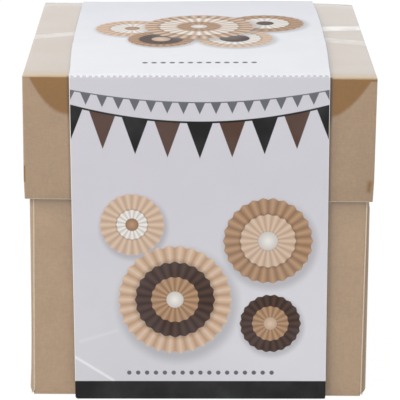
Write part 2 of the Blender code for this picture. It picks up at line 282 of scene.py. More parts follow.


# Painted light on the lid: painted shade in dark corners high on the front, a painted sheen and pale painted
# reflections on the top, a painted highlight along the front fold, and painted shadows beside the sleeve's
# edges. Pairs named for corners and gloss are the values at left and right.
frontLean = 0.0113  # the slope at which the sleeve's front panel leans sideways
lidPaintedLight = {
    "frontSpan": (-60.6 * mm, -61.2 * mm),
    "topSpan": (118.7 * mm, 119.3 * mm),
    "cornerFeet": (105.7 * mm, 105.3 * mm), "cornerRises": (13.5 * mm, 13.9 * mm),
    "cornerReaches": (14.25 * mm, 15 * mm), "cornerPowers": (2.2, 1.75), "cornerStart": 45 * mm,
    "cornerSoft": 1.0 * mm, "cornerInner": (33 * mm, 45 * mm), "cornerShadeTint": (0.627, 0.40, 0.0, 1.0),
    "cornerShare": 0.985,
    "shadeWedges": (  # start, end, half width and softness
        ((59.5 * mm, 78.1 * mm), (60.1 * mm, 82.3 * mm), 0.75 * mm, 1.0 * mm),
        ((-61.2 * mm, 81 * mm), (-61.2 * mm, 87 * mm), 0.4 * mm, 0.25 * mm),
        ((55.0 * mm, 118.6 * mm), (62.0 * mm, 118.6 * mm), 0.5 * mm, 0.4 * mm),
        ((-62.0 * mm, 119.1 * mm), (-57.0 * mm, 119.0 * mm), 0.3 * mm, 0.4 * mm),
    ),
    "paintedGlossSpan": (-20 * mm, 45 * mm), "paintedGlossShares": (0.30, 0.37),
    "paintedGlossColour": (0.62, 0.585, 0.55, 1.0),
    # painted reflections: pale streaks on the top
    "reflectionStreaks": (  # start, end, half width and share
        ((-62.5 * mm, -1.7 * mm), (-45.0 * mm, 5.8 * mm), 3.0 * mm, 0.40),
        ((44.5 * mm, 15.5 * mm), (62.5 * mm, 18.4 * mm), 3.7 * mm, 1.0),
        ((44.5 * mm, -1.5 * mm), (62.5 * mm, -8.0 * mm), 3.2 * mm, 0.46),
    ),
    "reflectionStreakSoft": 0.8 * mm, "reflectionStreakColour": (0.83, 0.815, 0.785, 1.0),
    "patchSize": 5 * mm, "patchSpan": (0.35, 0.6), "patchLevels": (0.55, 1.0),
    # painted highlight along the front fold
    "foldHighlightSpan": (-53.0 * mm, -61.0 * mm), "foldHighlightShare": 0.75, "foldHighlightColour": (0.46, 0.325, 0.16, 1.0),
    # painted shadows of the sleeve's edges
    "sleeveShadows": (  # place along X, width, share below the span and above it
        (-45.75 * mm, 0.7 * mm, 0.32, 0.60),
        (45.40 * mm, 0.9 * mm, 0.42, 0.95),
        (45.55 * mm, 4.0 * mm, 0.22, 0.12),
    ),
    "sleeveShadowSpan": (100 * mm, 106 * mm), "sleeveShadowTop": 120.1 * mm, "sleeveShadowColour": (0.065, 0.025, 0.006, 1.0),
    "topSleeveShadows": ((-45.4 * mm, -46.5 * mm), (45.2 * mm, 46.2 * mm)),  # place along X at front and back
    "topSleeveShadowSpan": (-61 * mm, -20 * mm), "topSleeveShadowWidth": 1.5 * mm, "topSleeveShadowShare": 0.28,
    "topSleeveShadowColour": (0.20, 0.19, 0.19, 1.0),
}


# Painted shade: the lid's front darkens in its upper corners and in small wedges at its edges
def paintCornerShade(colour, x, z, front):
    marksAndShading = lidPaintedLight
    reach = absolute(x)
    keys = ("cornerFeet", "cornerRises", "cornerReaches", "cornerPowers")
    foot, rise, run, power = (fade(x, -mm, mm, *marksAndShading[key]) for key in keys)
    share = calc("DIVIDE", minus(reach, marksAndShading["cornerStart"]), run, clamp=True)
    line = calc("MULTIPLY_ADD", calc("POWER", share, power), rise, foot)
    corner = fade(minus(z, line), -marksAndShading["cornerSoft"], marksAndShading["cornerSoft"])
    corner = times(corner, fade(reach, *marksAndShading["cornerInner"]))
    for start, end, width, soft in marksAndShading["shadeWedges"]:
        corner = calc("MAXIMUM", corner, lineMask(x, z, start, end, width, soft))
    corner = times(times(corner, front), marksAndShading["cornerShare"])
    return mixColour(corner, colour, marksAndShading["cornerShadeTint"], "MULTIPLY")


# Painted sheen over the lid's top, pale painted reflections in streaks on it, and a painted highlight along
# its front fold
def paintTopSheen(place, colour, x, y, level):
    marksAndShading = lidPaintedLight
    paintedGloss = fade(x, *marksAndShading["paintedGlossSpan"], *marksAndShading["paintedGlossShares"])
    colour = mixColour(times(level, paintedGloss), colour, marksAndShading["paintedGlossColour"])
    patches = grain(place, marksAndShading["patchSize"], detail=1.0)
    patchy = fade(patches, *marksAndShading["patchSpan"], *marksAndShading["patchLevels"])
    for start, end, width, share in marksAndShading["reflectionStreaks"]:
        reflectionStreak = times(lineMask(x, y, start, end, width, marksAndShading["reflectionStreakSoft"]), level)
        reflectionStreak = times(times(reflectionStreak, patchy), share)
        colour = mixColour(reflectionStreak, colour, marksAndShading["reflectionStreakColour"])
    fold = times(times(fade(y, *marksAndShading["foldHighlightSpan"]), level), marksAndShading["foldHighlightShare"])
    return mixColour(fold, colour, marksAndShading["foldHighlightColour"])


# Painted shadows: dark lines where the sleeve's edges shade the lid, and a soft painted shadow beside its
# right edge; the front ones lean with its panel
def paintSleeveShadows(colour, x, y, z, front, level):
    marksAndShading = lidPaintedLight
    for middle, width, lowShare, highShare in marksAndShading["sleeveShadows"]:
        lean = times(minus(marksAndShading["sleeveShadowTop"], z), frontLean)
        away = absolute(minus(minus(x, middle), lean))
        castShade = times(front, fade(z, *marksAndShading["sleeveShadowSpan"], lowShare, highShare))
        line = times(fade(away, width, 0.0), castShade)
        colour = mixColour(line, colour, marksAndShading["sleeveShadowColour"])
    castShade = times(level, marksAndShading["topSleeveShadowShare"])
    for places in marksAndShading["topSleeveShadows"]:
        edge = fade(y, *marksAndShading["topSleeveShadowSpan"], *places)
        away = absolute(minus(x, edge))
        line = times(fade(away, marksAndShading["topSleeveShadowWidth"], 0.0), castShade)
        colour = mixColour(line, colour, marksAndShading["topSleeveShadowColour"])
    return colour


# Paints the lid's shade, sheen, reflections and the sleeve's shadows into its colour
def paintLidLight(place, colour):
    x, y, z = splitPlace(place)
    front = fade(y, *lidPaintedLight["frontSpan"])
    level = fade(z, *lidPaintedLight["topSpan"])
    colour = paintCornerShade(colour, x, z, front)
    colour = paintTopSheen(place, colour, x, y, level)
    return paintSleeveShadows(colour, x, y, z, front, level)


wallShading = {
    "curlShadeSpan": (57.2 * mm, 59.4 * mm), "curlShadeColour": (0.375, 0.262, 0.165, 1.0),
    "shadeSpan": (66.5 * mm, 74.5 * mm), "shadeShare": 0.32, "shadeColour": (0.215, 0.155, 0.105, 1.0),
}


# Painted shade: side walls turn darker towards their upright edges
def paintCurlShade(place, colour):
    _, y, _ = splitPlace(place)
    tip = fade(absolute(y), *wallShading["curlShadeSpan"])
    return mixColour(tip, colour, wallShading["curlShadeColour"])


# Painted shadow: walls are a little darker towards the lid's rim, under its overhang
def paintUnderLidShade(place, colour):
    _, _, z = splitPlace(place)
    shade = fade(z, *wallShading["shadeSpan"], 0.0, wallShading["shadeShare"])
    return mixColour(shade, colour, wallShading["shadeColour"])


lidKraft = makeKraft("kraft_lid", **kraftKinds["lid"], marksAndShading=paintLidLight)
baseKraft = makeKraft("kraft_base", **kraftKinds["base"], marksAndShading=paintUnderLidShade)
curlHighlightKraft = makeKraft("kraft_curl_highlight", **kraftKinds["curl"], marksAndShading=paintCurlShade)
panelKraft = makeKraft("kraft_panel", **kraftKinds["panel"])
innerKraft = makeKraft("kraft_inner", **kraftKinds["inner"])
giftKraft = makeKraft("kraft_gift", **kraftKinds["gift"])
kraftEdge = makeCutEdge("kraft_edge")
foldHighlightKraft = makeKraft("kraft_fold_highlight", **kraftKinds["fold"], marksAndShading=paintLidLight)
print("kraft finishes ready")


# Printed sleeve

sleeveRise = 0.7 * mm  # its folds over the lid's top
sleeveShift = -0.7 * mm  # sideways from the middle of the box
sleeveLow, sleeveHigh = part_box("sleeve_band")
sleeveHigh.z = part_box("lid_top")[1].z + sleeveRise
sleeveHalf = (sleeveHigh.x - sleeveLow.x) / 2
sleeveCentre = (sleeveLow.x + sleeveHigh.x) / 2

printInk = {
    "paper": (0.573, 0.563, 0.602),
    # the inks for the right are lighter: painted light
    "paperRightLit": (0.590, 0.581, 0.620),
    "paperLow": (0.601, 0.597, 0.633),
    "paperLowRightLit": (0.667, 0.662, 0.702),
    # paler on the top: painted light from above
    "paperTopLit": (0.745, 0.750, 0.780),
    "paperBack": (0.700, 0.705, 0.755),
    "charcoal": (0.012, 0.012, 0.012),
    "slate": (0.125, 0.125, 0.145),
    "tan": (0.46, 0.29, 0.175),
    "tanDark": (0.27, 0.155, 0.085),
    "sand": (0.66, 0.50, 0.38),
    "sandDark": (0.47, 0.33, 0.235),
    "cocoa": (0.085, 0.045, 0.032),
    "cocoaDark": (0.032, 0.020, 0.017),
    "cream": (0.80, 0.77, 0.73),
    "creamDark": (0.55, 0.51, 0.47),
    # painted highlight, on the cut edges and in the pale streaks
    "paintedHighlight": (0.84, 0.83, 0.84),
}
printing = {
    "soft": 0.12 * mm,
    "rise": 0.6,  # the share of the front's lean by which its rows turn
    "edgeWidth": 0.32 * mm,
    "bandHeight": 7.1 * mm,
    "rightSpan": (-30 * mm, 40 * mm),
    "lowSpan": (85 * mm, 15 * mm),
    "backSpan": (-30 * mm, 60 * mm),
    "paintedGlossSoft": 0.45 * mm,
}
rosette = {
    "shadowShift": (0.05, -0.10), "shadowSpan": (1.16, 0.92), "shadowShare": 0.42,
    "shadowColour": (0.20, 0.19, 0.20, 1.0),
    "pleatDepth": -0.05,
    "rimSpan": (1.12, 0.96), "rimShare": 0.35, "rimColour": (0.05, 0.035, 0.03, 1.0),
}


def ink(name):
    return (*printInk[name], 1.0)


def paint(colour, mask, name):
    return mixColour(mask, colour, ink(name))


def distanceTo(across, up, centre):
    dx = minus(across, centre[0])
    dz = minus(up, centre[1])
    squares = plus(times(dx, dx), times(dz, dz))
    return calc("SQRT", squares), dx, dz


# A paper rosette seen from above: rings of pleats, a button and a soft shadow
def paintRosette(colour, across, up, centre, radius, rings):
    soft = printing["soft"]
    shadowCentre = [at + radius * shift for at, shift in zip(centre, rosette["shadowShift"])]
    away, _, _ = distanceTo(across, up, shadowCentre)
    span = (radius * part for part in rosette["shadowSpan"])
    shadow = fade(away, *span, 0.0, rosette["shadowShare"])
    colour = mixColour(shadow, colour, rosette["shadowColour"])
    away, dx, dz = distanceTo(across, up, centre)
    angle = calc("ARCTAN2", dz, dx)
    for share, pleats, light, dark in rings:
        reach = radius * share
        if pleats:
            pleat = calc("PINGPONG", times(angle, pleats / math.pi), 1.0)
            edge = calc("MULTIPLY_ADD", pleat, rosette["pleatDepth"] * reach, reach)
        else:
            pleat = calc("DIVIDE", away, reach)
            edge = reach
        if share < 1.0:
            span = (reach * part for part in rosette["rimSpan"])
            rim = fade(away, *span, 0.0, rosette["rimShare"])
            colour = mixColour(rim, colour, rosette["rimColour"])
        shade = mixColour(pleat, ink(light), ink(dark))
        colour = mixColour(fade(minus(away, edge), soft, -soft), colour, shade)
    return colour


# A string of pennants that hangs in a shallow curve
def paintBunting(colour, across, up, string):
    soft = printing["soft"]
    firstInk, secondInk = string["inks"]
    sag = times(times(across, across), string["curve"])
    drop = minus(plus(sag, string["height"]), up)
    cell = calc("MULTIPLY_ADD", across, 1.0 / string["pitch"], 0.5)
    number = calc("FLOOR", cell)
    offset = absolute(minus(minus(cell, number), 0.5))
    slope = calc("MULTIPLY_ADD", drop, -string["halfWidth"] / string["length"], string["halfWidth"])
    margin = minus(slope, times(offset, string["pitch"]))
    flag = times(fade(margin, -soft, soft), fade(drop, 0.0, soft * 2))
    ends = fade(absolute(across), string["reach"] + soft, string["reach"])
    odd = absolute(calc("MODULO", number, 2.0))
    shade = mixColour(odd, ink(firstInk), ink(secondInk))
    colour = mixColour(times(flag, ends), colour, shade)
    thread = fade(absolute(drop), string["thread"] + soft, string["thread"] - soft)
    return paint(colour, thread, firstInk)


def paintDots(colour, across, up, row):
    soft = printing["soft"]
    cell = calc("MULTIPLY_ADD", across, 1.0 / row["pitch"], 0.5)
    offset = minus(calc("FRACT", cell), 0.5)
    away, _, _ = distanceTo(times(offset, row["pitch"]), up, (0.0, row["height"]))
    dot = fade(away, row["radius"] + soft, row["radius"] - soft)
    ends = fade(absolute(across), row["reach"] + soft, row["reach"])
    return paint(colour, times(dot, ends), row["ink"])


# Painted highlight: a pale line where the sheet is cut
def paintEdgeHighlights(colour, across):
    inner = sleeveHalf - printing["edgeWidth"]
    line = fade(absolute(across), inner, inner + printing["soft"])
    return paint(colour, line, "paintedHighlight")


paperFinish = {
    "cloudSize": 14 * mm, "cloudShare": 0.05, "cloudColour": (0.40, 0.40, 0.44, 1.0),
    "toothSize": 0.5 * mm,
    "depth": 0.006 * mm,
}


def finishPaper(shader, colour, place, roughness=0.5, specular=0.15):
    cloudy = grain(place, paperFinish["cloudSize"], detail=3.0)
    tooth = grain(place, paperFinish["toothSize"], detail=3.0)
    cloud = fade(cloudy, *wideSpan, 0.0, paperFinish["cloudShare"])
    colour = mixColour(cloud, colour, paperFinish["cloudColour"])
    plug(shader.inputs["Base Color"], colour)
    shader.inputs["Roughness"].default_value = roughness
    shader.inputs["Specular IOR Level"].default_value = specular
    bumpFrom(shader, plus(tooth, cloudy), paperFinish["depth"])


# A rosette is its centre, its radius and its rings: share of the radius, pleats and two inks
frontPrint = {
    "garlands": (
        {"height": 110.4 * mm, "curve": 2.2, "pitch": 5.65 * mm, "halfWidth": 1.9 * mm,
         "length": 4.2 * mm, "thread": 0.2 * mm, "reach": 50 * mm, "inks": ("slate", "slate")},
        {"height": 103.3 * mm, "curve": 3.0, "pitch": 11.3 * mm, "halfWidth": 4.6 * mm,
         "length": 13 * mm, "thread": 0.35 * mm, "reach": 50 * mm, "inks": ("charcoal", "cocoa")},
    ),
    "rosettes": (
        ((-24 * mm, 66 * mm), 11.5 * mm, (
            (1.0, 22, "sand", "sandDark"), (0.48, 16, "cream", "creamDark"), (0.2, 0, "tan", "tanDark"))),
        ((24 * mm, 60 * mm), 16 * mm, (
            (1.0, 26, "tan", "tanDark"), (0.62, 20, "sand", "sandDark"), (0.22, 0, "cream", "creamDark"))),
        ((-9 * mm, 38 * mm), 20.5 * mm, (
            (1.0, 30, "sand", "tan"), (0.70, 24, "cocoa", "cocoaDark"),
            (0.42, 18, "tan", "tanDark"), (0.15, 0, "cream", "creamDark"))),
        ((25 * mm, 29 * mm), 11 * mm, (
            (1.0, 22, "cocoa", "cocoaDark"), (0.6, 16, "tan", "tanDark"), (0.22, 0, "sand", "sandDark"))),
    ),
    "dots": {"height": 10.3 * mm, "pitch": 3.2 * mm, "radius": 0.8 * mm, "reach": 26.8 * mm, "ink": "slate"},
    # painted reflections: pale streaks across the print
    "paintedGloss": (  # start, end, half width and share
        ((-45.5 * mm, 16.6 * mm), (-31.0 * mm, 7.2 * mm), 0.45 * mm, 0.75),
        ((-43.5 * mm, 22.0 * mm), (-29.5 * mm, 26.4 * mm), 0.55 * mm, 0.18),
    ),
}
backPrint = {
    "garlands": frontPrint["garlands"][1:],
    "rosettes": (),
    "dots": frontPrint["dots"],
    "paintedGloss": (),
}
topPrint = {
    "rosettes": (
        ((-25 * mm, 6 * mm), 14 * mm, (
            (1.0, 24, "sand", "tan"), (0.6, 18, "cream", "creamDark"), (0.2, 0, "tan", "tanDark"))),
        ((25 * mm, 14 * mm), 15 * mm, (
            (1.0, 24, "tan", "tanDark"), (0.62, 18, "cream", "creamDark"), (0.22, 0, "cocoa", "cocoaDark"))),
        ((-14 * mm, -12 * mm), 12.5 * mm, (
            (1.0, 24, "tan", "tanDark"), (0.66, 18, "cocoa", "cocoaDark"), (0.28, 0, "sand", "sandDark"))),
        ((13 * mm, -11 * mm), 14.5 * mm, (
            (1.0, 26, "sand", "sandDark"), (0.68, 20, "cream", "creamDark"),
            (0.38, 0, "cocoa", "cocoaDark"))),
        ((0 * mm, 9 * mm), 21 * mm, (
            (1.0, 30, "sand", "tanDark"), (0.72, 24, "cream", "sandDark"),
            (0.4, 16, "tan", "tanDark"), (0.15, 0, "cream", "creamDark"))),
    ),
    "dots": {"height": -46.5 * mm, "pitch": 3.2 * mm, "radius": 1.0 * mm, "reach": 20.8 * mm, "ink": "slate"},
}


# Print on the front and back panels; across runs along X, up along Z, both turned with the lean
def makePanelPrint(name, layout, mirrored=False):
    material, shader, place = newFinish(name)
    x, _, height = splitPlace(place)
    lean = times(minus(sleeveHigh.z, height), frontLean)
    across = minus(minus(x, sleeveCentre + sleeveShift), lean)
    z = minus(height, times(across, frontLean * printing["rise"]))
    if mirrored:
        across = times(across, -1.0)
    # Painted light: the paper turns lighter towards the right, where the lamps give less light
    toRight = fade(across, *printing["rightSpan"])
    high = mixColour(toRight, ink("paper"), ink("paperRightLit"))
    low = mixColour(toRight, ink("paperLow"), ink("paperLowRightLit"))
    colour = mixColour(fade(z, *printing["lowSpan"]), high, low)
    for centre, radius, rings in layout["rosettes"]:
        colour = paintRosette(colour, across, z, centre, radius, rings)
    for string in layout["garlands"]:
        colour = paintBunting(colour, across, z, string)
    colour = paintDots(colour, across, z, layout["dots"])
    # Painted reflections: pale streaks across the print
    for start, end, width, share in layout["paintedGloss"]:
        reflectionStreak = lineMask(across, z, start, end, width, printing["paintedGlossSoft"])
        colour = paint(colour, times(reflectionStreak, share), "paintedHighlight")
    colour = paintEdgeHighlights(colour, across)
    bandTop, soft = printing["bandHeight"], printing["soft"]
    colour = paint(colour, fade(z, bandTop + soft, bandTop - soft), "charcoal")
    finishPaper(shader, colour, place)
    return material


def makeTopPrint(name, layout):
    material, shader, place = newFinish(name)
    x, y, _ = splitPlace(place)
    across = minus(x, sleeveCentre + sleeveShift)
    # Painted light: the top's paper is paler than the front's, and a little darker towards the back
    colour = mixColour(fade(y, *printing["backSpan"]), ink("paperTopLit"), ink("paperBack"))
    for centre, radius, rings in layout["rosettes"]:
        colour = paintRosette(colour, across, y, centre, radius, rings)
    colour = paintDots(colour, across, y, layout["dots"])
    finishPaper(shader, colour, place)
    return material


paperFibres = {
    "size": 0.5 * mm,
    "stretch": (0.3, 1.0, 1.0),
    "turn": (0.0, 0.5, 0.4),
    "share": 0.16,
    "shade": 0.7,
}
paperKinds = {
    "inside": {"colour": (0.50, 0.49, 0.47), "roughness": 0.75},
    "cut": {"colour": (0.86, 0.85, 0.86), "roughness": 0.7},
    # slots of the perforation: darker than the top's paper, painted shade in the cuts
    "slot": {"colour": (0.53, 0.52, 0.56), "roughness": 0.8},
    "underside": {"colour": (0.60, 0.60, 0.63), "roughness": 0.45, "specular": 0.15},
    "mat": {"colour": (0.74, 0.70, 0.62), "roughness": 0.7},
    "white": {"colour": (0.84, 0.82, 0.78), "roughness": 0.7},
}


def makePlainPaper(name, colour, roughness, specular=0.3):
    material, shader, place = newFinish(name)
    look = paperFibres
    fibres = grain(place, look["size"], detail=3.0, stretch=look["stretch"], turn=look["turn"])
    dark = (*(part * look["shade"] for part in colour), 1.0)
    tone = mixColour(fade(fibres, *wideSpan, 0.0, look["share"]), (*colour, 1.0), dark)
    finishPaper(shader, tone, place, roughness, specular)
    return material


sleeveFront = makePanelPrint("sleeve_front_print", frontPrint)
sleeveBack = makePanelPrint("sleeve_back_print", backPrint, mirrored=True)
sleeveTop = makeTopPrint("sleeve_top_print", topPrint)
sleeveInside = makePlainPaper("sleeve_grey_back", **paperKinds["inside"])
sleeveEdge = makePlainPaper("sleeve_cut_edge", **paperKinds["cut"])
sleeveSlotShade = makePlainPaper("sleeve_perforation_shade", **paperKinds["slot"])
sleeveUnder = makePlainPaper("sleeve_underside_print", **paperKinds["underside"])
matPaper = makePlainPaper("mat_paper", **paperKinds["mat"])
whitePaper = makePlainPaper("white_card_edge", **paperKinds["white"])


# Cards and pockets of the innermost layer

pullCard = {
    "frame": {"half": 35.0 * mm, "low": 17.0 * mm, "high": 70.2 * mm, "width": 0.32 * mm},
    "ringHeight": 74.0 * mm, "ringRadius": 5.4 * mm, "ringWidth": 0.3 * mm,
    "fibreSize": 0.6 * mm,
    "colours": ((0.80, 0.77, 0.71, 1.0), (0.72, 0.69, 0.63, 1.0)),
    "roughness": 0.55,
    "specular": 0.3,
}
pocketFrame = {
    "half": 39.6 * mm, "low": 12.6 * mm, "high": 65.6 * mm, "width": 0.28 * mm,
    "dash": 2.6 * mm, "dashSpan": (0.62, 0.55),
}


# A thin frame line inside an upright card's edges; dashes break it into stitches
def frameLine(across, up, lines):
    middle = (lines["low"] + lines["high"]) / 2
    dx = minus(absolute(across), lines["half"])
    dz = minus(absolute(minus(up, middle)), lines["high"] - middle)
    away = absolute(calc("MAXIMUM", dx, dz))
    line = fade(away, lines["width"], lines["width"] / 2)
    if "dash" in lines:
        run = calc("FRACT", calc("DIVIDE", plus(across, up), lines["dash"]))
        line = times(line, fade(run, *lines["dashSpan"]))
    return line


# Card with a printed frame and a ring on its tab; the card stands along X or along Y
def makePullPaper(name, axis):
    material, shader, place = newFinish(name)
    parts = splitPlace(place)
    across, up = parts[axis], parts[2]
    fibres = grain(place, pullCard["fibreSize"], detail=3.0)
    colour = mixColour(fade(fibres, *wideSpan), *pullCard["colours"])
    colour = paint(colour, frameLine(across, up, pullCard["frame"]), "tanDark")
    away, _, _ = distanceTo(across, up, (0.0, pullCard["ringHeight"]))
    ring = absolute(minus(away, pullCard["ringRadius"]))
    ring = fade(ring, pullCard["ringWidth"], pullCard["ringWidth"] / 2)
    colour = paint(colour, ring, "tanDark")
    finishPaper(shader, colour, place, pullCard["roughness"], pullCard["specular"])
    return material


# Brown card with a printed row of stitches inside its edges
def makePocketPaper(name, axis):
    def markStitches(place, colour):
        parts = splitPlace(place)
        return paint(colour, frameLine(parts[axis], parts[2], pocketFrame), "sand")
    return makeKraft(name, **kraftKinds["pocket"], marksAndShading=markStitches)


pullPapers = [makePullPaper("pull_card_along_x", 0), makePullPaper("pull_card_along_y", 1)]
pocketPapers = [makePocketPaper("pocket_along_x", 0), makePocketPaper("pocket_along_y", 1)]
print("printed finishes ready")


ribbon = {
    "weaveSize": 0.18 * mm,
    "creaseShadeSize": 4 * mm,
    "colours": ((0.80, 0.80, 0.79, 1.0), (0.88, 0.88, 0.87, 1.0)),
    "roughness": 0.38,
    "sheen": 0.3,
    "depth": 0.02 * mm,
}


def makeRibbonFinish(name):
    material, shader, place = newFinish(name)
    weave = grain(place, ribbon["weaveSize"], detail=1.0)
    # Painted shade: the satin turns lighter and darker in broad patches, as at its creases
    creaseShade = grain(place, ribbon["creaseShadeSize"])
    tone = mixColour(fade(creaseShade, *tightSpan), *ribbon["colours"])
    plug(shader.inputs["Base Color"], tone)
    shader.inputs["Roughness"].default_value = ribbon["roughness"]
    shader.inputs["Sheen Weight"].default_value = ribbon["sheen"]
    bumpFrom(shader, weave, ribbon["depth"])
    return material


ribbonFinish = makeRibbonFinish("ribbon_satin")
print("ribbon finish ready")


# Shape helpers

cardEdge = {"round": 0.07 * mm, "segments": 2, "roundAngle": 40, "sharpAngle": 35}
cleaning = {"distance": 0.002 * mm, "angle": 0.5}
cutReach = 0.001 * mm


def meshFrom(name, shape):
    mesh = bpy.data.meshes.new(name)
    shape.to_mesh(mesh)
    shape.free()
    return mesh


def addObject(name, data):
    item = bpy.data.objects.new(name, data)
    bpy.context.scene.collection.objects.link(item)
    return item


# Makes an object of the shape, finishes its edges and seats it on its body
def finishPiece(name, shape, materials, body, nodes, edgeWidth=0.0):
    mesh = meshFrom(name, shape)
    for material in materials:
        mesh.materials.append(material)
    piece = addObject(name, mesh)
    if edgeWidth:
        bevel = piece.modifiers.new("soft_edges", "BEVEL")
        bevel.width = edgeWidth
        bevel.segments = cardEdge["segments"]
        bevel.limit_method = "ANGLE"
        bevel.angle_limit = math.radians(cardEdge["roundAngle"])
    mesh.shade_smooth()
    mesh.set_sharp_from_angle(angle=math.radians(cardEdge["sharpAngle"]))
    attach(piece, body)
    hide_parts(*nodes)
    return piece


def bodyOf(node):
    return next(body for body, nodes in frame["record"]["behaviour"]["bodies"].items() if node in nodes)


# A copy of a CAD node as clean faces
def copyNode(node):
    shape = bmesh.new()
    shape.from_mesh(frame["nodes"][node].data)
    flat = math.radians(cleaning["angle"])
    bmesh.ops.remove_doubles(shape, verts=shape.verts, dist=cleaning["distance"])
    bmesh.ops.dissolve_limit(shape, angle_limit=flat, verts=shape.verts, edges=shape.edges)
    bmesh.ops.recalc_face_normals(shape, faces=shape.faces)
    return shape


# Card dressed from its CAD node: broad faces keep the board, thin faces show the cut edge
def dressCard(node, board, edge):
    shape = copyNode(node)
    broad = max(shape.faces, key=lambda face: face.calc_area()).normal.copy()
    for face in shape.faces:
        face.material_index = 0 if abs(face.normal.dot(broad)) > facing else 1
    return finishPiece(node + "_card", shape, [board, edge], bodyOf(node), [node], cardEdge["round"])


# 0 below low, 1 above high, smooth between them
def ease(value, low, high):
    share = max(0.0, min(1.0, (value - low) / (high - low)))
    return share * share * (3 - 2 * share)


def spread(low, high, count):
    return [low + (high - low) * (step + 1) / (count + 1) for step in range(count)]


def solidBox(low, high):
    shape = bmesh.new()
    bmesh.ops.create_cube(shape, size=1.0)
    bmesh.ops.scale(shape, verts=shape.verts, vec=high - low)
    bmesh.ops.translate(shape, verts=shape.verts, vec=(low + high) / 2)
    return shape


# Cuts a shape into bands along an axis, so that it can bend
def cutAcross(shape, axis, places):
    normal = Vector((0.0, 0.0, 0.0))
    normal[axis] = 1.0
    for at in places:
        point = Vector((0.0, 0.0, 0.0))
        point[axis] = at
        parts = shape.verts[:] + shape.edges[:] + shape.faces[:]
        bmesh.ops.bisect_plane(shape, geom=parts, dist=cutReach, plane_co=point, plane_no=normal)


def roundEdges(shape, edges, width, segments):
    bmesh.ops.bevel(shape, geom=edges, offset=width, segments=segments, profile=0.5,
                    affect="EDGES", material=-1)


def middleOf(edge):
    return (edge.verts[0].co + edge.verts[1].co) / 2


def isSharp(edge, angle):
    return len(edge.link_faces) == 2 and edge.calc_face_angle() > angle


# Lid

lid = {
    "card": 0.6 * mm,
    "fold": 0.55 * mm, "foldSegments": 4,
    "cuts": (11, 11, 5),
    "bow": 0.22 * mm, "bowTurn": 0.75,
    "taper": 0.25 * mm, "taperHeight": 8 * mm, "taperStart": 48 * mm,
    "tilt": 0.28 * mm,
    "lift": 0.8 * mm, "liftSpan": (-20 * mm, 40 * mm),
    "backSpan": (-10 * mm, 60 * mm),
    "crownPower": 4,
    "liftPower": 3,
    "rimHeight": 0.35 * mm, "rimAngle": 1.0, "rimRound": 0.24 * mm, "rimSegments": 2,
    "flat": 0.97,
    "rimFace": -0.15,
}
lidNodes = ["lid_top", "lid_rim_left", "lid_rim_right", "lid_rim_front", "lid_rim_back"]


# How much of a lift near the back reaches a place along Y
def backShare(y):
    return ease(y, *lid["backSpan"])


# Bows the rims, draws in the corners of their foot, tilts the rim and lifts the top near the back
def bendLid(place, low, high):
    size = high - low
    half = size.x / 2 - lid["fold"]
    drop = (high.z - place.z) / size.z
    belly = math.sin(min(drop, 1.0) * math.pi * lid["bowTurn"])
    for axis, other in ((0, 1), (1, 0)):
        along = max(-1.0, min(1.0, place[other] / half))
        if abs(place[axis]) > half - closeBy:
            place[axis] += math.copysign(lid["bow"] * (1 - along ** 2) * belly, place[axis])
    foot = max(0.0, 1 - (place.z - low.z) / lid["taperHeight"]) ** 2
    foot *= ease(abs(place.y), lid["taperStart"], half)
    if abs(place.x) > half - closeBy:
        place.x -= math.copysign(lid["taper"] * foot, place.x)
    place.z += lid["tilt"] * (0.5 - place.x / size.x) * drop
    crown = 1 - (place.x / high.x) ** lid["crownPower"]
    lift = lid["lift"] * ease(place.x, *lid["liftSpan"]) * crown * backShare(place.y)
    place.z += lift * (1 - drop) ** lid["liftPower"]


def makeLid():
    lows, highs = zip(*(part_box(node) for node in lidNodes))
    low = Vector(min(corner[axis] for corner in lows) for axis in range(3))
    high = Vector(max(corner[axis] for corner in highs) for axis in range(3))
    shape = solidBox(low, high)
    mouth = min(shape.faces, key=lambda face: face.calc_center_median().z)
    kept = set(mouth.edges)
    roundEdges(shape, [edge for edge in shape.edges if edge not in kept], lid["fold"], lid["foldSegments"])
    mouth = [face for face in shape.faces if face.normal.z < -squarely]
    bmesh.ops.delete(shape, geom=mouth, context="FACES")
    bmesh.ops.recalc_face_normals(shape, faces=shape.faces)
    for axis, count in enumerate(lid["cuts"]):
        cutAcross(shape, axis, spread(low[axis], high[axis], count))
    for vert in shape.verts:
        bendLid(vert.co, low, high)
    bmesh.ops.solidify(shape, geom=shape.faces[:], thickness=lid["card"])
    rim = []
    for edge in shape.edges:
        middle = middleOf(edge)
        outward = max(abs(middle.x), abs(middle.y)) > (high.x - low.x) / 2 - lid["card"] / 2
        if middle.z < low.z + lid["rimHeight"] and outward and isSharp(edge, lid["rimAngle"]):
            rim.append(edge)
    roundEdges(shape, rim, lid["rimRound"], lid["rimSegments"])
    for face in shape.faces:
        flat = max(abs(part) for part in face.normal) > lid["flat"]
        lowest = face.calc_center_median().z < low.z + lid["rimRound"] + lid["tilt"]
        face.material_index = 0 if flat else 1
        if lowest and face.normal.z < lid["rimFace"]:
            face.material_index = 2
    return finishPiece("lid_shell", shape, [lidKraft, foldHighlightKraft, kraftEdge], "lid", lidNodes)


makeLid()
print("lid ready")


# Outer walls: they bulge between the lid's rim and their foot, and the side walls curl in at their
# upright edges

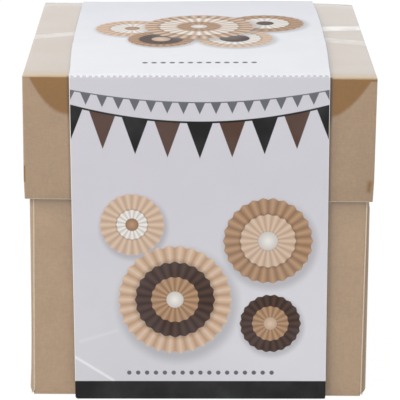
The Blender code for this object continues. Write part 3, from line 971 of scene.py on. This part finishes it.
outerWall = {
    "reach": 59.95 * mm,
    "ends": (-57.85 * mm, 58.92 * mm),  # of the front and back walls
    "curl": {"left": 1.6 * mm, "right": 0.5 * mm}, "curlLean": {"left": 0.75 * mm, "right": 0.0},
    "leanHeight": 74 * mm,
    "curlReach": 4 * mm, "curlCuts": (0.4 * mm, 0.9 * mm, 1.6 * mm, 2.4 * mm, 3.2 * mm, 4.0 * mm),
    "curlFace": 0.5, "curlShare": 0.6,
    "foot": 0.25 * mm, "footWidth": 59.1 * mm, "footReach": 1.5 * mm, "footDrop": 0.22 * mm,
    "footLift": 0.6 * mm, "footRound": 0.35 * mm, "footSegments": 3, "footAngle": 0.9,
    "footSlack": 0.02 * mm, "footCuts": (0.35 * mm, 0.7 * mm, 1.1 * mm, 1.7 * mm, 2.4 * mm),
    "cuts": (9, 12),
    "bulge": {  # at the foot and at the knee, and how soon it grows
        "right": (1.35 * mm, 0.72 * mm, 1.0),
        "left": (0.75 * mm, -0.12 * mm, 6.0),
        "front": (0.0, 0.0, 1.0),
        "back": (0.3 * mm, 0.1 * mm, 1.0),
    },
    "bulgeKnee": 71 * mm, "bulgeEnd": 76 * mm,
    "endFace": 0.85,
}


# How far a wall stands out at a height
def bulgeAt(side, height):
    low, knee, power = outerWall["bulge"][side]
    if height < outerWall["bulgeKnee"]:
        return knee + (low - knee) * (1 - height / outerWall["bulgeKnee"]) ** power
    left = (outerWall["bulgeEnd"] - height) / (outerWall["bulgeEnd"] - outerWall["bulgeKnee"])
    return knee * max(left, 0.0)


# Bulges a wall; a side wall curls in at its upright edges, and the others' ends follow that curl
def bendWall(place, side, low, high, outward):
    wall = outerWall
    rise = ease(place.z - low.z, 0.0, wall["footReach"])
    lowShare = max(0.0, 1 - place.z / wall["leanHeight"])
    move = bulgeAt(side, place.z) * rise - wall["foot"] * (1 - rise)
    if side in wall["curl"]:
        away = max(0.0, 1 - (wall["reach"] - abs(place.y)) / wall["curlReach"]) ** 2
        curl = wall["curl"][side] - wall["curlLean"][side] * lowShare
        place.z += wall["footLift"] * (1 - rise) * away
        place.x += outward * (move * (1 - away) - curl * rise * away)
    else:
        lean = wall["curlLean"]["right" if place.x > 0 else "left"] * lowShare
        end = high.x if place.x > 0 else -low.x
        place.x *= (end + lean + (wall["footWidth"] - end - lean) * (1 - rise)) / end
        place.y += outward * move
    place.z -= wall["footDrop"] * (1 - rise)


def makeOuterWall(side):
    node = "outer_wall_" + side
    low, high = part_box(node)
    turned = side in outerWall["curl"]
    across, along = (0, 1) if turned else (1, 0)
    outward = 1.0 if side in ("right", "back") else -1.0
    reach = outerWall["reach"]
    low[along], high[along] = (-reach, reach) if turned else outerWall["ends"]
    shape = solidBox(low, high)
    alongCount, upCount = outerWall["cuts"]
    curlCuts = [reach - step for step in outerWall["curlCuts"]] if turned else []
    footCuts = [low.z + step for step in outerWall["footCuts"]]
    cutAcross(shape, along, curlCuts + [-at for at in curlCuts] + spread(-reach, reach, alongCount))
    cutAcross(shape, 2, footCuts + spread(low.z, high.z, upCount))
    cutAcross(shape, 2, [outerWall["bulgeKnee"], outerWall["bulgeEnd"]])
    for vert in shape.verts:
        bendWall(vert.co, side, low, high, outward)
    foot = []
    for edge in shape.edges:
        middle = middleOf(edge)
        outer = outward * middle[across] > outward * (low + high)[across] / 2
        run = abs(edge.verts[0].co[along] - edge.verts[1].co[along])
        lowest = middle.z < low.z - outerWall["footDrop"] + outerWall["footSlack"]
        if outer and lowest and run > closeBy and isSharp(edge, outerWall["footAngle"]):
            foot.append(edge)
    roundEdges(shape, foot, outerWall["footRound"], outerWall["footSegments"])
    bmesh.ops.recalc_face_normals(shape, faces=shape.faces)
    for face in shape.faces:
        middle = face.calc_center_median()
        end = abs(face.normal[along]) > outerWall["endFace"]
        crown = face.normal.z > squarely and middle.z > high.z - closeBy
        curled = turned and abs(middle[along]) > reach - outerWall["curlShare"] * outerWall["curlReach"]
        face.material_index = 1 if end or crown else 0
        if curled and outward * face.normal[across] > outerWall["curlFace"]:
            face.material_index = 2
    return finishPiece(node + "_card", shape, [baseKraft, kraftEdge, curlHighlightKraft], bodyOf(node),
                       [node])


for wallSide in ("front", "right", "back", "left"):
    makeOuterWall(wallSide)
print("outer walls ready")


# Layers

for nodeName in frame["nodes"]:
    alongY = nodeName.endswith(("left", "right"))
    if nodeName.endswith("_base"):
        dressCard(nodeName, panelKraft, kraftEdge)
    elif nodeName.startswith("outer_wall"):
        continue
    elif "_wall_" in nodeName or "_gusset_" in nodeName:
        dressCard(nodeName, innerKraft, kraftEdge)
    elif nodeName.startswith("photo_mat"):
        dressCard(nodeName, matPaper, whitePaper)
    elif nodeName.startswith("pocket"):
        dressCard(nodeName, pocketPapers[alongY], kraftEdge)
    elif nodeName.startswith("pull_card"):
        dressCard(nodeName, pullPapers[alongY], whitePaper)
    elif nodeName in ("gift_tray", "gift_lid"):
        dressCard(nodeName, giftKraft, giftKraft)
    elif nodeName.startswith("bow_") or nodeName == "gift_ribbon":
        dressCard(nodeName, ribbonFinish, ribbonFinish)
print("layers ready")


# Sleeve

sleeve = {
    "card": 0.4 * mm,
    "fold": 0.9 * mm, "foldSteps": 9,
    "cornerRound": 0.9 * mm, "cornerSegments": 3,
    "perforation": 2.1 * mm,
    "slotShare": 0.5, "slotEdge": 0.12 * mm, "slotSpan": (39.0, 71.0), "slotSlack": 0.01 * mm,
    "dent": 0.14 * mm,
    "upCuts": 5, "upMargin": 3 * mm, "upFoldCuts": (2.2 * mm, 1.6 * mm),
    "deepCuts": 11, "deepMargin": 2 * mm, "deepFoldCuts": (1.6 * mm, 2.2 * mm),
    "topFace": 0.34, "topDepth": 1 * mm, "topBow": 1.5 * mm, "topTilt": 0.3,
    "narrow": 0.9976,
    "leanStart": 2.5 * mm,
    "tilt": 0.0094, "tiltPivot": -24 * mm, "tiltFade": 50 * mm,
    "frontBow": 0.7 * mm, "frontBowHeight": 40 * mm,
    "flareLeft": 1.0 * mm, "flareRight": 0.9 * mm, "flareSpan": (-61 * mm, -20 * mm), "flareBack": 0.6,
    "flareFade": 15 * mm,
    "lift": 0.9 * mm, "liftLeft": -0.2 * mm, "liftSpan": (-45 * mm, 35 * mm),
    "undersideShift": 0.6 * mm,
}
bend = sleeve["fold"] + sleeve["card"]
foldY, foldZ = sleeveHigh.y - bend, sleeveHigh.z - bend  # where the folds begin
slotPitch = sleeve["perforation"]
slotWidth = slotPitch * sleeve["slotShare"]
slotCount = int((sleeveHigh.x - sleeveLow.x) / slotPitch)
slotFirst = sleeveCentre - slotCount * slotPitch / 2
frontFace, topFace, backFace, insideFace, edgeFace, slotFace = range(6)


def vertsIn(geom):
    return [part for part in geom if isinstance(part, bmesh.types.BMVert)]


def edgeIn(geom):
    return next(part for part in geom if isinstance(part, bmesh.types.BMEdge))


# Draws a strip's open end straight on, and gives the new end
def drawOn(shape, end, move):
    grown = bmesh.ops.extrude_edge_only(shape, edges=[end])["geom"]
    bmesh.ops.translate(shape, verts=vertsIn(grown), vec=move)
    return edgeIn(grown)


# Draws it on round a fold
def drawRound(shape, end, y):
    turned = bmesh.ops.spin(shape, geom=[*end.verts, end], cent=(sleeveLow.x, y, foldZ), axis=(1.0, 0.0, 0.0),
                            angle=-math.pi / 2, steps=sleeve["foldSteps"])
    return edgeIn(turned["geom_last"])


# The band as one bent sheet: up the front, over the top and down the back
def bentSheet():
    shape = bmesh.new()
    depths = (-sleeveHigh.y, sleeve["card"] - sleeveHigh.y)
    end = shape.edges.new([shape.verts.new((sleeveLow.x, y, sleeveLow.z)) for y in depths])
    end = drawOn(shape, end, (0.0, 0.0, foldZ - sleeveLow.z))
    end = drawRound(shape, end, -foldY)
    end = drawOn(shape, end, (0.0, 2 * foldY, 0.0))
    end = drawRound(shape, end, foldY)
    drawOn(shape, end, (0.0, 0.0, sleeveLow.z - foldZ))
    grown = bmesh.ops.extrude_face_region(shape, geom=shape.faces[:])["geom"]
    bmesh.ops.translate(shape, verts=vertsIn(grown), vec=(sleeveHigh.x - sleeveLow.x, 0.0, 0.0))
    bmesh.ops.recalc_face_normals(shape, faces=shape.faces)
    return shape


def roundFootCorners(shape):
    corners = []
    for edge in shape.edges:
        first, last = (vert.co for vert in edge.verts)
        if max(first.z, last.z) < sleeveLow.z + closeBy and abs(first.y - last.y) > closeBy:
            corners.append(edge)
    roundEdges(shape, corners, sleeve["cornerRound"], sleeve["cornerSegments"])


def cutSleeve(shape):
    cuts = []
    for number in range(slotCount):
        middle = slotFirst + (number + 0.5) * slotPitch
        near, far = middle - slotWidth / 2, middle + slotWidth / 2
        cuts += [near - sleeve["slotEdge"], near, far, far + sleeve["slotEdge"]]
    cutAcross(shape, 0, cuts)
    up = spread(sleeveLow.z, sleeveHigh.z - sleeve["upMargin"], sleeve["upCuts"])
    cutAcross(shape, 2, up + [sleeveHigh.z - at for at in sleeve["upFoldCuts"]])
    margin = sleeve["deepMargin"]
    deep = spread(sleeveLow.y + margin, sleeveHigh.y - margin, sleeve["deepCuts"])
    cutAcross(shape, 1, deep + [sleeveLow.y + at for at in sleeve["deepFoldCuts"]])


# True on the slots of the front fold; corner says how far a place is out and up from where it begins
def isSlot(x, corner):
    aside = abs(((x - slotFirst) / slotPitch) % 1.0 - 0.5) * slotPitch
    if aside >= slotWidth / 2 + sleeve["slotSlack"] or min(corner) <= 0:
        return False
    start, end = sleeve["slotSpan"]
    return start < math.degrees(math.atan2(corner[0], corner[1])) < end


def sleeveFinish(face):
    middle = face.calc_center_median()
    corner = Vector((abs(middle.y) - foldY, middle.z - foldZ))
    away = corner.length if min(corner) > 0 else max(corner)
    foot = face.normal.z < -squarely and middle.z < sleeveLow.z + closeBy
    if abs(face.normal.x) > facing or foot:
        return edgeFace
    if away <= bend - sleeve["card"] / 2:
        return insideFace
    # Slots of the perforation take a darker paper: painted shade in the cuts
    if middle.y < 0 and isSlot(middle.x, corner):
        return slotFace
    # Faces that look upwards, most of the folds too, take the top's paler paper: painted light, and a painted
    # highlight on the folds
    if face.normal.z > sleeve["topFace"]:
        return topFace
    return frontFace if middle.y < 0 else backFace


# Dents the slots, bows and flares the top, lifts the back, and turns and leans the front
def bendSleeve(place):
    corner = Vector((-place.y - foldY, place.z - foldZ))
    if isSlot(place.x, corner) and corner.length > bend - sleeve["card"] / 2:
        place.y += sleeve["dent"]
        place.z -= sleeve["dent"]
    down = max(sleeveHigh.z - sleeve["leanStart"] - place.z, 0.0)
    off = place.x - sleeveCentre
    if place.z > sleeveHigh.z - sleeve["topDepth"] and abs(place.y) < foldY + sleeve["slotSlack"]:
        arch = max(1 - (place.y / foldY) ** 2, 0.0)
        place.z += sleeve["topBow"] * arch * (1 + sleeve["topTilt"] * off / sleeveHalf)
    lift = sleeve["liftLeft"] + sleeve["lift"] * ease(place.x, *sleeve["liftSpan"])
    flare = ease(place.y, *sleeve["flareSpan"]) * off / sleeveHalf
    if off > 0:
        fading = sleeve["flareBack"] * ease(place.y, sleeve["flareFade"], sleeveHigh.y)
        flare *= sleeve["flareRight"] * (1 - fading)
    else:
        flare *= sleeve["flareLeft"]
    if place.y > 0:
        flare *= ease(place.z, sleeveHigh.z / 2, foldZ)
    off += flare
    place.z += lift * backShare(place.y) * (max(place.z, 0.0) / sleeveHigh.z) ** 2
    belly = max(1 - place.z / sleeve["frontBowHeight"], 0.0) ** 2
    place.y += math.copysign(sleeve["frontBow"] * belly, place.y)
    nearFront = 1 - ease(place.y, sleeveLow.y, sleeveLow.y + sleeve["tiltFade"])
    height = max(place.z, 0.0) / sleeveHigh.z
    place.z += sleeve["tilt"] * (place.x - sleeve["tiltPivot"]) * nearFront * height
    fall = down / (sleeveHigh.z - sleeveLow.z)
    place.z += printing["rise"] * frontLean * (place.x - sleeveLow.x) * fall
    place.x = sleeveCentre + off * sleeve["narrow"] + sleeveShift + frontLean * down


def makeSleeve():
    shape = bentSheet()
    roundFootCorners(shape)
    cutSleeve(shape)
    for face in shape.faces:
        face.material_index = sleeveFinish(face)
    for vert in shape.verts:
        bendSleeve(vert.co)
    finishes = [sleeveFront, sleeveTop, sleeveBack, sleeveInside, sleeveEdge, sleeveSlotShade]
    return finishPiece("sleeve_wrap", shape, finishes, "sleeve", ["sleeve_band"])


# The strip under the box: print below, grey card above
def makeUnderside():
    strip = dressCard("sleeve_underside", sleeveUnder, sleeveEdge)
    strip.data.materials.append(sleeveInside)
    for polygon in strip.data.polygons:
        if polygon.normal.z > facing:
            polygon.material_index = 2
    for vertex in strip.data.vertices:
        vertex.co.x += sleeve["undersideShift"]
    return strip


makeSleeve()
makeUnderside()
print("sleeve ready")


# Studio

studio = {
    "lamps": {
        "key_light": {"power": 9.4, "size": 0.6, "place": (-0.68, -0.72, 1.0)},
        "fill_light": {"power": 1.9, "size": 0.9, "place": (-0.4, -1.15, 0.6)},
        "top_light": {"power": 3.0, "size": 1.0, "place": (0.0, 0.25, 1.35)},
    },
    "aim": (0.0, 0.0, 0.06),
    "white": (1.0, 1.0, 1.0, 1.0),
    "worldFill": 0.55,
    "floorSize": 6.0, "floorGap": 0.05 * mm, "floorColour": (0.80, 0.80, 0.80, 1.0),
    "floorRoughness": 0.9, "floorGlow": 1.05, "floorGlowShare": 0.92,
}


def makeLamp(name, power, size, place):
    data = bpy.data.lights.new(name, "AREA")
    data.energy = power
    data.shape = "SQUARE"
    data.size = size
    lamp = addObject(name, data)
    lamp.location = place
    lamp.rotation_euler = (Vector(studio["aim"]) - Vector(place)).to_track_quat("-Z", "Y").to_euler()


# 1 for what the camera sees directly, in a mirror or through glass
def seenDirectly(shader):
    path = addNode("ShaderNodeLightPath", shader)
    seen = plus(path.outputs["Is Camera Ray"], path.outputs["Is Glossy Ray"])
    return calc("ADD", seen, path.outputs["Is Transmission Ray"], clamp=True)


def makeWorld():
    world = bpy.data.worlds.new("studio_white")
    bpy.context.scene.world = world
    world.use_nodes = True
    background = world.node_tree.nodes["Background"]
    background.inputs["Color"].default_value = studio["white"]
    fill = studio["worldFill"]
    level = calc("MULTIPLY_ADD", seenDirectly(background), 1.0 - fill, fill)
    plug(background.inputs["Strength"], level)


def makeFloor():
    shape = bmesh.new()
    bmesh.ops.create_grid(shape, x_segments=1, y_segments=1, size=studio["floorSize"] / 2)
    bmesh.ops.translate(shape, verts=shape.verts, vec=(0.0, 0.0, cadLow.z - studio["floorGap"]))
    floor = addObject("floor", meshFrom("floor", shape))
    material, shader = newMaterial("floor_white")
    shader.inputs["Base Color"].default_value = studio["floorColour"]
    shader.inputs["Roughness"].default_value = studio["floorRoughness"]
    shader.inputs["Specular IOR Level"].default_value = 0.0
    glow = addNode("ShaderNodeEmission", shader)
    glow.inputs["Strength"].default_value = studio["floorGlow"]
    blend = addNode("ShaderNodeMixShader", shader)
    plug(blend.inputs[0], times(seenDirectly(shader), studio["floorGlowShare"]))
    plug(blend.inputs[1], shader.outputs[0])
    plug(blend.inputs[2], glow.outputs[0])
    plug(material.node_tree.nodes["Material Output"].inputs["Surface"], blend.outputs[0])
    floor.data.materials.append(material)


for lampName, lampValues in studio["lamps"].items():
    makeLamp(lampName, **lampValues)
makeWorld()
makeFloor()
print("studio ready")


# Camera, as fitted to the lid's corners in the photograph

view = {
    "place": (-0.00431, -0.78309, 0.29639),
    "yaw": 0.375,
    "pitch": 17.063,
    "roll": 0.53,
    "lens": 193.26,
    "sensor": 36.0,
    "clip": (0.01, 20.0),
}


def makeCamera():
    yaw, pitch, roll = (math.radians(view[key]) for key in ("yaw", "pitch", "roll"))
    forward = Vector((math.sin(yaw) * math.cos(pitch), math.cos(yaw) * math.cos(pitch), -math.sin(pitch)))
    right = Vector((math.cos(yaw), -math.sin(yaw), 0.0))
    up = right.cross(forward)
    right = math.cos(roll) * right + math.sin(roll) * up
    up = right.cross(forward)
    data = bpy.data.cameras.new("camera")
    data.lens = view["lens"]
    data.sensor_width = view["sensor"]
    data.clip_start, data.clip_end = view["clip"]
    camera = addObject("camera", data)
    axes = Matrix((right, up, -forward)).transposed()
    camera.matrix_world = Matrix.Translation(view["place"]) @ axes.to_4x4()
    bpy.context.scene.camera = camera


makeCamera()
bpy.context.scene.view_settings.view_transform = "Standard"
print("camera ready")
